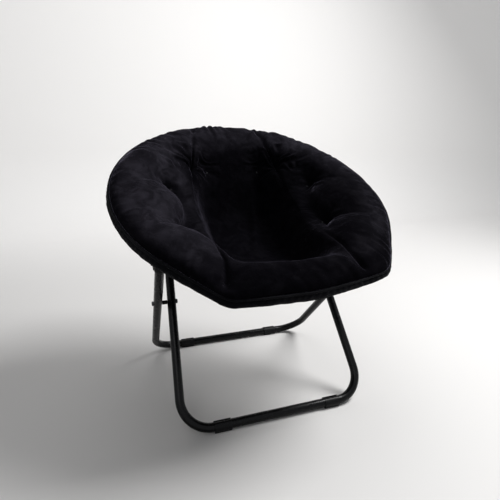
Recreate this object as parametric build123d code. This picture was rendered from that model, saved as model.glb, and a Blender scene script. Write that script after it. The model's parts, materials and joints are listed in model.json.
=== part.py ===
from build123d import *
import os
from math import atan2, cos, degrees, radians, sin, sqrt, tan

# A folding saucer chair: a round padded bowl on a hinged tube ring, carried by two crossed
# U-shaped leg frames.  Millimetres and degrees.  +Z is up, -Y is the front, +X is the sitter's left.
# The origin is on the floor under the middle of the chair.

# ---- driving dimensions -------------------------------------------------------------------
TUBE_D = 22.2                # ring and leg tube, outside
TUBE_WALL = 1.2
RING_RADIUS = 357.0          # to the middle of the ring tube
RING_TILT = 27.4             # the front of the ring is the low side
RING_BACK = 17.7             # middle of the ring behind the leg crossing
RING_RISE = 269.0            # middle of the ring above the leg crossing
HINGE_SHARE = 0.2325         # hinge line in front of the middle of the ring, as a share of its radius

CROSS_HEIGHT = 262.0         # leg crossing above the floor
CROSS_SHARE = 0.64426        # half the distance between the front legs there, to the ring's radius
FRONT_LEG_TURN = 54.19       # where a front leg's top hangs, round the ring from its side to its back
REAR_LEG_TURN = -33.49       # where a rear leg's top hangs, round the ring from its side to its front
FRONT_LEG_INSET = 1.1        # top of a front leg, inwards of the ring tube above it
REAR_LEG_INSET = 26.1        # top of a rear leg, inwards of the ring tube beside it
FRONT_LEG_DROP = 43.3        # top pivot of a front leg, below the middle of the ring tube
REAR_LEG_DROP = 29.7         # top pivot of a rear leg, below the middle of the ring tube
LEG_BEND = 72.0              # bend between an upright and a floor bar
LEG_OVERRUN = 11.0           # tube beyond a top pivot
SPACER_LENGTH = 13.5         # between the crossed legs
SPACER_D = 10.5

CAP_CROWN = 2.5              # leg cap above the tube's end
CAP_PLUG = 5.0               # leg cap inside the tube
FOOT_LENGTH = 42.0
FOOT_FROM_BEND = 1.0         # straight tube between a foot and the bend of the narrower floor bar
FOOT_WALL = 2.2
FOOT_SOLE = 1.5              # plastic between the tube and the floor
FOOT_SOLE_WIDTH = 17.0
FOOT_MOUTH = 12.0            # slot that lets the foot clip over the tube

BOLT_D = 6.0
BOLT_PLAY = 0.05             # radial, where something turns on a bolt or pin
HEAD_D = 12.0
HEAD_HEIGHT = 4.0
SIDE_PLAY = 0.3              # between faces that turn past each other
SEAT_PLAY = 0.35             # under a head, nut or spacer on a sloping tube
EAR_PLAY = 1.3               # between an ear and the leg that turns beside it
EAR_THICKNESS = 4.0
EAR_RADIUS = 11.0
CLAMP_WALL = 2.5
CLOTH_PLAY = 1.0             # round a bracket, where the cloth is cut away
CLAMP_LENGTH = 32.0          # along the ring tube
RIVET_D = 5.0
RIVET_HEIGHT = 1.6

HINGE_SETBACK = 44.0         # ring tube's end from the hinge pin, along the ring
HINGE_ROOT = 36.0            # from the pin to where the cheeks and the tongue spread to the tube
CHEEK_THICKNESS = 2.5
TONGUE_THICKNESS = 5.0
HINGE_DEPTH = 16.0           # height of the cheeks and the tongue
HINGE_PLUG = 26.0            # length inside the tube
PLUG_PLAY = 0.05             # radial, round the plug
HINGE_COLLAR = 3.0
HINGE_WEB = 2.2              # strip below the tongue that stops the ring going past flat

SLEEVE_OUT = 17.5            # cloth sleeve round the ring tube, outside radius
SLEEVE_WALL = 5.5
PIPING_D = 5.0
PIPING_TURN = 55.0           # where the piping sits round the sleeve, up from level
PAD_TURN = 84.0              # where the cushion starts round the sleeve, up from level
SLEEVE_PLAY = 0.3
HALF_PLAY = 0.3              # each cushion half stops this far from the hinge line

CROWN_SHARE = 0.8347         # crest of the padded rim, as a share of the ring's radius
CROWN_HEIGHT = 33.0          # crest above the ring's plane
TUFT_SHARE = 0.5826          # circle of sewn tufts, as a share of the ring's radius
TUFT_LEVEL = -16.0           # cushion's face there, before the tufts pull it in
TUFT_COUNT = 8
SHELF_SHARE = 0.4342         # inner roll of the padding, as a share of the ring's radius
SHELF_LEVEL = -50.0
BOWL_SHARE = 0.28            # foot of the bowl's wall, as a share of the ring's radius
BOWL_FOOT = 0.9              # level of that foot, as a share of the bowl's depth
BOWL_DEPTH = 150.0           # cushion's face at the middle, below the ring's plane
PAD_THICKNESS = 42.0         # at the middle of the bowl
CROWN_PAD = 1.45             # height of the padding at its crest, to its thickness in the middle
TUFT_PAD = 1.75              # the same at the tufts
SHELF_PAD = 1.9              # the same at the inner roll
FOOT_PAD = 1.03              # the same at the foot of the bowl's wall
UNDER_START = 232.0          # where the underside leaves the sleeve, turned from level
WADDING_SHARE = 0.4          # of the thickness that is loose wadding under the quilted top
BASE_CLOTH = 1.6
TUFT_PULL = 15.0             # how deep a tuft is drawn in
TUFT_DIMPLE = 30.0           # radius of the hollow round a tuft
CHANNEL_WIDTH = 9.0          # radius of a sewn channel
CHANNEL_START = 14.0         # a radial channel starts this far outside the tufts
CHANNEL_DEPTH = 5.0
TACK_LENGTH = 10.0           # thread bar sewn across a tuft
TACK_D = 3.0
TACK_PLAY = 0.05

# ---- worked out from them -----------------------------------------------------------------
TUBE_R = TUBE_D / 2
BORE_R = TUBE_R - TUBE_WALL
BOLT_R = BOLT_D / 2
FLOOR_AXIS = TUBE_R + FOOT_SOLE          # height of a floor bar's axis
RING_HEIGHT = CROSS_HEIGHT + RING_RISE
HINGE_FORWARD = HINGE_SHARE * RING_RADIUS
CROWN_RADIUS, TUFT_RADIUS = CROWN_SHARE * RING_RADIUS, TUFT_SHARE * RING_RADIUS
SHELF_RADIUS, BOWL_RADIUS = SHELF_SHARE * RING_RADIUS, BOWL_SHARE * RING_RADIUS
FRONT_CROSS_HALF = CROSS_SHARE * RING_RADIUS
TILT = radians(RING_TILT)
RING = Plane(origin=(0, RING_BACK, RING_HEIGHT), x_dir=(1, 0, 0), z_dir=(0, -sin(TILT), cos(TILT)))
REAR_CROSS_HALF = FRONT_CROSS_HALF + TUBE_D + SPACER_LENGTH
SIDES = {"left": 1, "right": -1}


def leg_line(turn, drop, cross_half, inset):
    """The middle line of one leg: from its top under the ring, through the crossing, to the floor bar."""
    along = RING_RADIUS * sin(radians(turn))
    top_half = RING_RADIUS * cos(radians(turn)) - inset
    top = RING.from_local_coords(Vector(0, along, -drop))
    share = (CROSS_HEIGHT - FLOOR_AXIS) / (top.Z - CROSS_HEIGHT)
    floor_half = cross_half + (cross_half - top_half) * share
    return {
        "top": Vector(top_half, top.Y, top.Z),
        "floor": Vector(floor_half, -top.Y * share, FLOOR_AXIS),
        "cross_half": cross_half,
        "turn": turn,
        "along": along,
        "drop": drop,
    }


def straight_half(leg):
    """Half the length of a floor bar between its two bends."""
    across, upright = Vector(1, 0, 0), leg["top"] - leg["floor"]
    turn = across.get_angle(upright)
    return leg["floor"].X - LEG_BEND * tan(radians(turn) / 2)


FRONT_LEG = leg_line(FRONT_LEG_TURN, FRONT_LEG_DROP, FRONT_CROSS_HALF, FRONT_LEG_INSET)
REAR_LEG = leg_line(REAR_LEG_TURN, REAR_LEG_DROP, REAR_CROSS_HALF, REAR_LEG_INSET)
FOOT_OUT = min(straight_half(FRONT_LEG), straight_half(REAR_LEG)) - FOOT_FROM_BEND - FOOT_LENGTH / 2
HINGE_TURN = degrees(atan2(HINGE_FORWARD, sqrt(RING_RADIUS**2 - HINGE_FORWARD**2)))
END_TURN = degrees(HINGE_SETBACK / RING_RADIUS)
REAR_END_HALF = RING_RADIUS * cos(radians(HINGE_TURN - END_TURN))
FRONT_END_HALF = RING_RADIUS * cos(radians(HINGE_TURN + END_TURN))
HINGE_HALF = (REAR_END_HALF + FRONT_END_HALF) / 2


# ---- helpers --------------------------------------------------------------------------------
def mirrored(shape, side):
    """The shape as modelled for +X, or its mirror image for -X."""
    return shape if side > 0 else shape.mirror(Plane.YZ)


def rod_x(radius, x_from, x_to, y, z):
    """A round bar along X."""
    return Pos((x_from + x_to) / 2, y, z) * Rot(0, 90, 0) * Cylinder(radius, abs(x_to - x_from))


def block(xs, ys, zs):
    """A box between pairs of coordinates, given in any order."""
    spans = [sorted(pair) for pair in (xs, ys, zs)]
    mid = [(low + high) / 2 for low, high in spans]
    return Pos(*mid) * Box(*[high - low for low, high in spans])


def half_depth():
    return -HINGE_DEPTH / 2, HINGE_DEPTH / 2


def ring_band(face, start, end):
    """A section (distance from the ring's axis, height) turned about that axis, in the ring's frame."""
    return Rot(0, 0, start) * revolve(Plane.XZ * face, Axis.Z, revolution_arc=end - start)


def round_section(radius, bore=0.0, distance=RING_RADIUS, height=0.0):
    section = Circle(radius) - Circle(bore) if bore else Circle(radius)
    return Pos(distance, height) * section


REAR_SPAN = (-HINGE_TURN, 180 + HINGE_TURN)
FRONT_SPAN = (180 + HINGE_TURN, 360 - HINGE_TURN)


def trimmed(span, setback):
    return span[0] + setback, span[1] - setback


# ---- leg frames -----------------------------------------------------------------------------
def leg_frame(leg):
    """One U-shaped tube: up one side from its top pivot, along the floor and up the other side."""
    top, floor = leg["top"], leg["floor"]
    end = top + (top - floor).normalized() * LEG_OVERRUN
    across = [Vector(-point.X, point.Y, point.Z) for point in (floor, end)]
    path = FilletPolyline(end, floor, *across, radius=LEG_BEND)
    mouth = Plane(origin=path @ 0, z_dir=path % 0)
    tube = sweep(mouth * (Circle(TUBE_R) - Circle(BORE_R)), path=path)
    for side in SIDES.values():
        tube -= rod_x(BOLT_R + BOLT_PLAY, side * (top.X - TUBE_D), side * (top.X + TUBE_D), top.Y, top.Z)
        half = leg["cross_half"]
        tube -= rod_x(BOLT_R + BOLT_PLAY, side * (half - TUBE_D), side * (half + TUBE_D), 0, CROSS_HEIGHT)
    return tube


def leg_cap(leg, side):
    """A plastic plug with a low dome in the top end of a leg."""
    top, floor = leg["top"], leg["floor"]
    axis = (top - floor).normalized()
    seat = Plane(origin=top + axis * LEG_OVERRUN, z_dir=axis)
    plug = Pos(0, 0, -CAP_PLUG / 2) * Cylinder(BORE_R, CAP_PLUG)
    crown = Pos(0, 0, CAP_CROWN / 2) * Cylinder(TUBE_R, CAP_CROWN)
    crown = fillet(crown.edges().sort_by(Axis.Z)[-1], CAP_CROWN * 0.7)
    return mirrored(seat * (crown + plug), side)


def foot(leg, side):
    """A clip round a floor bar with a flat sole."""
    clip = Rot(0, 90, 0) * Cylinder(TUBE_R + FOOT_WALL, FOOT_LENGTH)
    sole = Pos(0, 0, -FLOOR_AXIS / 2) * Box(FOOT_LENGTH, FOOT_SOLE_WIDTH, FLOOR_AXIS)
    clip = clip + sole
    clip -= Pos(0, 0, -FLOOR_AXIS - TUBE_R) * Box(2 * FOOT_LENGTH, 2 * TUBE_D, 2 * TUBE_R)
    clip -= Rot(0, 90, 0) * Cylinder(TUBE_R, 2 * FOOT_LENGTH)
    clip -= Pos(0, 0, TUBE_R) * Box(2 * FOOT_LENGTH, FOOT_MOUTH, TUBE_R)
    return Pos(side * FOOT_OUT, leg["floor"].Y, FLOOR_AXIS) * clip


def cross_bolt(side):
    """Bolt at the crossing: its domed head is outside the rear leg, its end stops at the front leg."""
    outer = REAR_CROSS_HALF + TUBE_R + SEAT_PLAY
    end = FRONT_CROSS_HALF + TUBE_R + 2 * SEAT_PLAY
    shank = rod_x(BOLT_R, end, outer, 0, CROSS_HEIGHT)
    head = rod_x(HEAD_D / 2, outer, outer + HEAD_HEIGHT, 0, CROSS_HEIGHT)
    head = fillet(head.edges().sort_by(Axis.X)[-1], HEAD_HEIGHT * 0.6)
    return mirrored(shank + head, side)


def cross_spacer(side):
    start = FRONT_CROSS_HALF + TUBE_R + 2 * SEAT_PLAY
    end = REAR_CROSS_HALF - TUBE_R - SEAT_PLAY
    tube = rod_x(SPACER_D / 2, start, end, 0, CROSS_HEIGHT)
    tube -= rod_x(BOLT_R, start - 1, end + 1, 0, CROSS_HEIGHT)
    return mirrored(tube, side)


def cross_nut(side):
    """Capped nut inside the front leg, on the stub that passes through that leg."""
    inner = FRONT_CROSS_HALF - TUBE_R - SEAT_PLAY
    shank = rod_x(BOLT_R, inner, FRONT_CROSS_HALF + TUBE_R, 0, CROSS_HEIGHT)
    nut = rod_x(HEAD_D / 2, inner - HEAD_HEIGHT, inner, 0, CROSS_HEIGHT)
    nut = fillet(nut.edges().sort_by(Axis.X)[0], HEAD_HEIGHT * 0.5)
    return mirrored(shank + nut, side)


# ---- brackets on the ring, in the ring's frame ------------------------------------------------
def ear_faces(leg, both):
    """Where the ears stand along X beside a leg's top: (inner face, outer face) of each."""
    half = leg["top"].X
    outer = half + TUBE_R + EAR_PLAY
    ears = [(outer, outer + EAR_THICKNESS)]
    if both:
        inner = half - TUBE_R - EAR_PLAY
        ears.append((inner - EAR_THICKNESS, inner))
    return ears


def ear_shape(leg, grow=0.0):
    """Side view of an ear: from the ring tube down to the pivot, drawn in (along, up)."""
    along, drop = leg["along"], leg["drop"]
    tail = Pos(along, -drop) * Circle(EAR_RADIUS + grow)
    neck = Pos(along, -drop / 2) * Rectangle(2 * (EAR_RADIUS + grow), drop)
    return tail + neck


def clamp_span(leg, grow=0.0):
    half = degrees((CLAMP_LENGTH / 2 + grow) / RING_RADIUS)
    return leg["turn"] - half, leg["turn"] + half


def ears(leg, both, grow=0.0):
    made = None
    for x_from, x_to in ear_faces(leg, both):
        face = Plane((x_from - grow, 0, 0), x_dir=(0, 1, 0), z_dir=(1, 0, 0)) * ear_shape(leg, grow)
        ear = extrude(face, x_to - x_from + 2 * grow)
        made = ear if made is None else made + ear
    return made


def bracket(leg, both):
    """A clamp round the ring tube with one or two ears that hold a leg's top pivot."""
    span = clamp_span(leg)
    band = ring_band(round_section(TUBE_R + CLAMP_WALL), *span)
    tube_space = ring_band(round_section(TUBE_R), *trimmed(span, -END_TURN))
    made = band + ears(leg, both) - tube_space
    reach = leg["top"].X
    return made - rod_x(BOLT_R, reach - 2 * TUBE_D, reach + 2 * TUBE_D, leg["along"], -leg["drop"])


def bracket_room(leg, both):
    """The space that a bracket, and the leg's top that turns in it, need clear of the cloth."""
    over = TUBE_R + CLAMP_WALL + RIVET_HEIGHT + CLOTH_PLAY / 2
    room = ring_band(round_section(over), *clamp_span(leg, CLOTH_PLAY))
    room += ears(leg, both, CLOTH_PLAY)
    turning = sqrt((LEG_OVERRUN + CAP_CROWN) ** 2 + TUBE_R**2) + 2 * CLOTH_PLAY
    half, wide = leg["top"].X, TUBE_R + EAR_THICKNESS + EAR_PLAY
    room += rod_x(turning, half - wide, half + wide, leg["along"], -leg["drop"])
    return room


def pivot_bolt(leg, both):
    """Bolt, washer and nut at a leg's top pivot."""
    faces = ear_faces(leg, both)
    outer = faces[0][1]
    inner = faces[1][0] if both else leg["top"].X - TUBE_R - EAR_PLAY
    along, up = leg["along"], -leg["drop"]
    shank = rod_x(BOLT_R, inner, outer, along, up)
    head = rod_x(HEAD_D / 2, outer, outer + HEAD_HEIGHT, along, up)
    head = fillet(head.edges().sort_by(Axis.X)[-1], HEAD_HEIGHT * 0.6)
    nut = rod_x(HEAD_D / 2, inner - HEAD_HEIGHT, inner, along, up)
    nut = fillet(nut.edges().sort_by(Axis.X)[0], HEAD_HEIGHT * 0.3)
    return shank + head + nut


def bracket_rivets(leg):
    """Two rivets that fix the clamp to the underside of the ring tube."""
    span = clamp_span(leg)
    made = []
    for turn in (span[0] * 0.8 + span[1] * 0.2, span[0] * 0.2 + span[1] * 0.8):
        seat = Rot(0, 0, turn) * Pos(RING_RADIUS, 0, 0) * Rot(0, 60, 0)
        level = TUBE_R + CLAMP_WALL
        head = Pos(0, 0, level + RIVET_HEIGHT / 2) * Cylinder(RIVET_D / 2, RIVET_HEIGHT)
        made.append(seat * head)
    return made


# ---- ring tubes and hinges, in the ring's frame -----------------------------------------------
def ring_tube(span):
    return ring_band(round_section(TUBE_R, BORE_R), *trimmed(span, END_TURN))


def hinge_end(turn, toward):
    """Frame at a ring tube's end: its Z axis leaves the tube towards the hinge pin."""
    at = radians(turn)
    place = (RING_RADIUS * cos(at), RING_RADIUS * sin(at), 0)
    return Plane(origin=place, z_dir=(-sin(at) * toward, cos(at) * toward, 0))


def tube_plug(turn, toward):
    """The curved plug inside a ring tube whose end is at this turn round the ring."""
    start, stop = sorted((turn, turn - toward * degrees(HINGE_PLUG / RING_RADIUS)))
    return ring_band(round_section(BORE_R - PLUG_PLAY), start, stop)


def hinge_strap(x_from, x_to, y_end):
    """A flat strap in the YZ plane from the pin to y_end, rounded about the pin."""
    strap = block((x_from, x_to), (-HINGE_FORWARD, y_end), half_depth())
    return strap + rod_x(HINGE_DEPTH / 2, x_from, x_to, -HINGE_FORWARD, 0)


def behind_end(end):
    """The space behind a tube's end, where the tube itself is."""
    depth = 2 * HINGE_PLUG
    return end * Pos(0, 0, -depth / 2) * Cylinder(2 * TUBE_R, depth)


def hinge_fork(side):
    """Two cheeks on the rear tube's end, with the web that stops the ring going past flat."""
    turn = END_TURN - HINGE_TURN
    end = hinge_end(turn, -1)
    y_root, y_nose = HINGE_ROOT - HINGE_FORWARD, -HINGE_FORWARD - HINGE_DEPTH / 2
    inner = TONGUE_THICKNESS / 2 + SIDE_PLAY
    outer = inner + CHEEK_THICKNESS
    web_top = -HINGE_DEPTH / 2 - SIDE_PLAY
    made = end * Pos(0, 0, HINGE_COLLAR / 2) * Cylinder(TUBE_R, HINGE_COLLAR)
    made += block((HINGE_HALF - outer, REAR_END_HALF + outer / 2), (y_root, end.origin.Y), half_depth())
    made += block((HINGE_HALF - outer, HINGE_HALF + outer), (y_nose, y_root), (web_top - HINGE_WEB, web_top))
    for way in (1, -1):
        cheek = (HINGE_HALF + way * inner, HINGE_HALF + way * outer)
        made += hinge_strap(cheek[0], cheek[1], y_root)
        made += block(cheek, (y_nose, y_root), (web_top - HINGE_WEB, 0))
    made = made - behind_end(end) + tube_plug(turn, -1)
    made -= rod_x(BOLT_R, HINGE_HALF - TUBE_D, HINGE_HALF + TUBE_D, -HINGE_FORWARD, 0)
    return mirrored(made, side)


def hinge_tongue(side):
    """The strap on the front tube's end that turns on the pin between the cheeks."""
    turn = -HINGE_TURN - END_TURN
    end = hinge_end(turn, 1)
    y_root = -HINGE_ROOT - HINGE_FORWARD
    half = TONGUE_THICKNESS / 2
    made = end * Pos(0, 0, HINGE_COLLAR / 2) * Cylinder(TUBE_R, HINGE_COLLAR)
    made += block((FRONT_END_HALF - half, HINGE_HALF + half), (end.origin.Y, y_root), half_depth())
    made += hinge_strap(HINGE_HALF - half, HINGE_HALF + half, y_root)
    made = made - behind_end(end) + tube_plug(turn, 1)
    made -= rod_x(BOLT_R + BOLT_PLAY, HINGE_HALF - TUBE_D, HINGE_HALF + TUBE_D, -HINGE_FORWARD, 0)
    return mirrored(made, side)


def hinge_room():
    """The space that a hinge needs inside the cloth sleeve."""
    grow = 1.3
    outer = TONGUE_THICKNESS / 2 + SIDE_PLAY + CHEEK_THICKNESS + grow
    low = -HINGE_DEPTH / 2 - SIDE_PLAY - HINGE_WEB - grow
    high = HINGE_DEPTH / 2 + grow
    reach = HINGE_SETBACK + grow
    y_nose = -HINGE_FORWARD - HINGE_DEPTH / 2 - grow
    room = block((HINGE_HALF - outer, HINGE_HALF + outer), (y_nose, reach - HINGE_FORWARD), (low, high))
    toe = (-HINGE_ROOT - HINGE_FORWARD + 2 * grow, -reach - HINGE_FORWARD)
    tip = HINGE_HALF + TONGUE_THICKNESS / 2 + grow
    return room + block((FRONT_END_HALF - outer, tip), toe, (-high, high))


def hinge_pin(side):
    reach = TONGUE_THICKNESS / 2 + SIDE_PLAY + CHEEK_THICKNESS
    made = rod_x(BOLT_R, HINGE_HALF - reach, HINGE_HALF + reach, -HINGE_FORWARD, 0)
    for way in (1, -1):
        face = HINGE_HALF + way * reach
        made += rod_x(HEAD_D / 2, face, face + way * RIVET_HEIGHT, -HINGE_FORWARD, 0)
    return mirrored(made, side)


# ---- soft parts, in the ring's frame -----------------------------------------------------------
def on_sleeve(turn, radius):
    return (RING_RADIUS + radius * cos(radians(turn)), radius * sin(radians(turn)))


PAD_OUT = SLEEVE_OUT + SLEEVE_PLAY
FACE_POINTS = [
    on_sleeve(PAD_TURN, PAD_OUT),
    (CROWN_RADIUS, CROWN_HEIGHT),
    (TUFT_RADIUS, TUFT_LEVEL),
    (SHELF_RADIUS, SHELF_LEVEL),
    (BOWL_RADIUS, -BOWL_FOOT * BOWL_DEPTH),
    (0, -BOWL_DEPTH),
]
UNDER_POINTS = [
    on_sleeve(UNDER_START, PAD_OUT),
    (CROWN_RADIUS, CROWN_HEIGHT - CROWN_PAD * PAD_THICKNESS),
    (TUFT_RADIUS, TUFT_LEVEL - TUFT_PAD * PAD_THICKNESS),
    (SHELF_RADIUS, SHELF_LEVEL - SHELF_PAD * PAD_THICKNESS),
    (BOWL_RADIUS, -BOWL_FOOT * BOWL_DEPTH - FOOT_PAD * PAD_THICKNESS),
    (0, -BOWL_DEPTH - PAD_THICKNESS),
]


def blended(share):
    """Points between the underside, at 0, and the face, at 1."""
    points = []
    for (r0, z0), (r1, z1) in zip(UNDER_POINTS[1:], FACE_POINTS[1:]):
        points.append((r0 + (r1 - r0) * share, z0 + (z1 - z0) * share))
    turn = UNDER_START + (PAD_TURN - UNDER_START) * share
    return [on_sleeve(turn, PAD_OUT)] + points, turn


def layer_line(share):
    """The line across the section at one share of the thickness, from the sleeve to the middle."""
    points, turn = blended(share)
    leave = (-0.95 + 0.05 * share, -0.3 + 0.75 * share)
    return Spline(*points, tangents=[leave, (-1, 0)]), points, turn


def layer_face(low, high):
    """Section of a padding layer between two shares of the thickness."""
    (top, upper, upper_turn), (bottom, lower, lower_turn) = layer_line(high), layer_line(low)
    middle_turn = (upper_turn + lower_turn) / 2
    rim = ThreePointArc(upper[0], on_sleeve(middle_turn, PAD_OUT), lower[0])
    return make_face([top, Line(upper[-1], lower[-1]), bottom, rim])


def cloth_face():
    """Section of the thin cloth under the padding."""
    top, upper, _ = layer_line(0.0)
    bottom = Pos(0, -BASE_CLOTH) * top
    lower = [(r, z - BASE_CLOTH) for r, z in upper]
    return make_face([top, Line(upper[-1], lower[-1]), bottom, Line(upper[0], lower[0])])


def without(body, rooms):
    for room in rooms:
        body = body - room
    return body


def half_of(body, rear):
    """The part of a round body behind or in front of the hinge line."""
    far = 4 * RING_RADIUS
    shift = far / 2 + HALF_PLAY
    keep = Pos(0, -HINGE_FORWARD + (shift if rear else -shift), 0) * Box(far, far, far)
    return body & keep


TUFT_TURNS = [(k + 0.5) * 360 / TUFT_COUNT for k in range(TUFT_COUNT)]


def quilted(body):
    """The padding with its sewing drawn in: a channel round the tufts, the tufts, and radial channels."""
    lift = CHANNEL_WIDTH - CHANNEL_DEPTH
    groove = Pos(TUFT_RADIUS, TUFT_LEVEL + lift) * Circle(CHANNEL_WIDTH)
    body = body - revolve(Plane.XZ * groove)
    dimple = Pos(TUFT_RADIUS, 0, TUFT_LEVEL + TUFT_DIMPLE - TUFT_PULL) * Sphere(TUFT_DIMPLE)
    body = body - [Rot(0, 0, turn) * dimple for turn in TUFT_TURNS]
    start = (TUFT_RADIUS + CHANNEL_START, TUFT_LEVEL + lift + CHANNEL_START / 4)
    crest = (CROWN_RADIUS, CROWN_HEIGHT + lift)
    rim = on_sleeve(PAD_TURN + 6, PAD_OUT + lift + CHANNEL_DEPTH - 1)
    route = Plane.XZ * ThreePointArc(start, crest, rim)
    channel = sweep(Plane(origin=route @ 0, z_dir=route % 0) * Circle(CHANNEL_WIDTH - 1), path=route)
    return body - [Rot(0, 0, turn) * channel for turn in TUFT_TURNS]


def tuft_tacks(rear):
    """Short thread bars sewn across the bottom of each tuft, in one half of the cushion."""
    made = []
    corner = sqrt((TACK_LENGTH / 2) ** 2 + (TACK_D / 2) ** 2)
    rise = TUFT_DIMPLE - sqrt(TUFT_DIMPLE**2 - corner**2) + TACK_PLAY
    level = TUFT_LEVEL - TUFT_PULL + TACK_D / 2 + rise
    for turn in TUFT_TURNS:
        behind = TUFT_RADIUS * sin(radians(turn)) > -HINGE_FORWARD
        if behind == rear:
            bar = Rot(0, 90, 0) * Cylinder(TACK_D / 2, TACK_LENGTH)
            made.append(Rot(0, 0, turn) * Pos(TUFT_RADIUS, 0, level) * bar)
    return made


def whole_turn(face):
    return revolve(Plane.XZ * face, Axis.Z)


# ---- assembly -----------------------------------------------------------------------------------
def build():
    ring_parts, parts = {}, {}
    for name, side in SIDES.items():
        parts[f"leg_cap_front_{name}"] = leg_cap(FRONT_LEG, side)
        parts[f"leg_cap_rear_{name}"] = leg_cap(REAR_LEG, side)
        parts[f"foot_front_{name}"] = foot(FRONT_LEG, side)
        parts[f"foot_rear_{name}"] = foot(REAR_LEG, side)
        parts[f"cross_bolt_{name}"] = cross_bolt(side)
        parts[f"cross_spacer_{name}"] = cross_spacer(side)
        parts[f"cross_nut_{name}"] = cross_nut(side)
        ring_parts[f"bracket_front_{name}"] = mirrored(bracket(REAR_LEG, False), side)
        ring_parts[f"bracket_rear_{name}"] = mirrored(bracket(FRONT_LEG, True), side)
        ring_parts[f"pivot_bolt_front_{name}"] = mirrored(pivot_bolt(REAR_LEG, False), side)
        ring_parts[f"pivot_bolt_rear_{name}"] = mirrored(pivot_bolt(FRONT_LEG, True), side)
        ring_parts[f"hinge_fork_{name}"] = hinge_fork(side)
        ring_parts[f"hinge_tongue_{name}"] = hinge_tongue(side)
        ring_parts[f"hinge_pin_{name}"] = hinge_pin(side)
    parts["leg_frame_front"] = leg_frame(FRONT_LEG)
    parts["leg_frame_rear"] = leg_frame(REAR_LEG)
    ring_parts["ring_tube_rear"] = ring_tube(REAR_SPAN)
    ring_parts["ring_tube_front"] = ring_tube(FRONT_SPAN)

    rooms = []
    for side in SIDES.values():
        rooms += [mirrored(bracket_room(REAR_LEG, False), side), mirrored(bracket_room(FRONT_LEG, True), side)]
    hinges = [mirrored(hinge_room(), side) for side in SIDES.values()]
    sleeve_section = round_section(SLEEVE_OUT, SLEEVE_OUT - SLEEVE_WALL)
    piping_section = Pos(*on_sleeve(PIPING_TURN, SLEEVE_OUT + PIPING_D / 2)) * Circle(PIPING_D / 2)
    soft = {
        "cushion": quilted(whole_turn(layer_face(WADDING_SHARE, 1.0))),
        "wadding": whole_turn(layer_face(0.0, WADDING_SHARE)),
        "base_cloth": whole_turn(cloth_face()),
    }
    soft = {name: without(body, rooms) for name, body in soft.items()}
    for end, span in (("rear", REAR_SPAN), ("front", FRONT_SPAN)):
        rear = end == "rear"
        longer = trimmed(span, -END_TURN)
        sleeve = half_of(ring_band(sleeve_section, *longer), rear)
        ring_parts[f"sleeve_{end}"] = without(sleeve, rooms + hinges)
        ring_parts[f"piping_{end}"] = half_of(ring_band(piping_section, *longer), rear)
        for name, body in soft.items():
            ring_parts[f"{name}_{end}"] = half_of(body, rear)
    ring_parts["tuft_tacks_rear"] = Compound(children=tuft_tacks(True))
    ring_parts["tuft_tacks_front"] = Compound(children=tuft_tacks(False))
    for end, leg in (("front", REAR_LEG), ("rear", FRONT_LEG)):
        rivets = [mirrored(r, side) for side in SIDES.values() for r in bracket_rivets(leg)]
        ring_parts[f"bracket_rivets_{end}"] = Compound(children=rivets)

    for name, shape in ring_parts.items():
        parts[name] = RING.location * shape
    return parts


def middle_y(parts):
    boxes = [p.bounding_box() for p in parts.values()]
    return (min(b.min.Y for b in boxes) + max(b.max.Y for b in boxes)) / 2


PARTS = build()
SHIFT_Y = -middle_y(PARTS)
os.makedirs("parts", exist_ok=True)
for part_name, part_shape in PARTS.items():
    export_step(Pos(0, SHIFT_Y, 0) * part_shape, f"parts/{part_name}.step")
hinge_at = RING.from_local_coords(Vector(0, -HINGE_FORWARD, 0))
print("shift", round(SHIFT_Y, 3), "foot out", round(FOOT_OUT, 2))
print("hinge line y, z", round(hinge_at.Y + SHIFT_Y, 3), round(hinge_at.Z, 3))
for label, line in (("front", FRONT_LEG), ("rear", REAR_LEG)):
    print(label, "leg top y, z", round(line["top"].Y + SHIFT_Y, 3), round(line["top"].Z, 3))
    print(label, "leg half widths", round(line["top"].X, 2), round(line["floor"].X, 2))
    print(label, "floor bar y", round(line["floor"].Y + SHIFT_Y, 3))
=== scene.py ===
"""The look of a folding saucer chair: its sewn seat, finishes, floor and light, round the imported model.

Lengths are in metres. The ring's own frame has x across the chair, s rearwards in the ring's plane and n
up from that plane. A turn is an angle round the ring from +x, r is the distance from the ring's middle,
and u is the distance from the chair's middle line, the same on both sides.
"""

import json
import math
from itertools import product

import bmesh
import bpy
import numpy as np
from mathutils import Matrix, Vector, kdtree


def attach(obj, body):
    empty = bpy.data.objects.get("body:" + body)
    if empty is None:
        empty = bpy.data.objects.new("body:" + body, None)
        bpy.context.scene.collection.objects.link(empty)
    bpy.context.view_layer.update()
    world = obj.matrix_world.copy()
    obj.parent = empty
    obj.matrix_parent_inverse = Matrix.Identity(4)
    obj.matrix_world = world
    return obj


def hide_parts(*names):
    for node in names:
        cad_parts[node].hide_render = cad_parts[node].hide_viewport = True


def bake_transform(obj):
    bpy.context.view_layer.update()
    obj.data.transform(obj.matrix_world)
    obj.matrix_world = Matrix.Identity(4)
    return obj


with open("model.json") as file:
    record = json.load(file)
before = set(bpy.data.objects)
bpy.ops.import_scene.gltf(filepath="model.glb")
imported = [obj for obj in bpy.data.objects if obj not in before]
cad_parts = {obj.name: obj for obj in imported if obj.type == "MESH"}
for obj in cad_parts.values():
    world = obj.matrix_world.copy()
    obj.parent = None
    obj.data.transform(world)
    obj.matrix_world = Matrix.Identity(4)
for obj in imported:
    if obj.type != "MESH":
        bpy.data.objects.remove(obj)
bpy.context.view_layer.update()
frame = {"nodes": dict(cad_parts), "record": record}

# ---- the ring that carries the seat ---------------------------------------------------------------
RING_Y, RING_Z = 0.001362, 0.531
TILT = math.radians(27.4)
RING_RADIUS = 0.357
HINGE_S = -0.083
TUBE_R = 0.0111
SLEEVE_R = 0.0158
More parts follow.
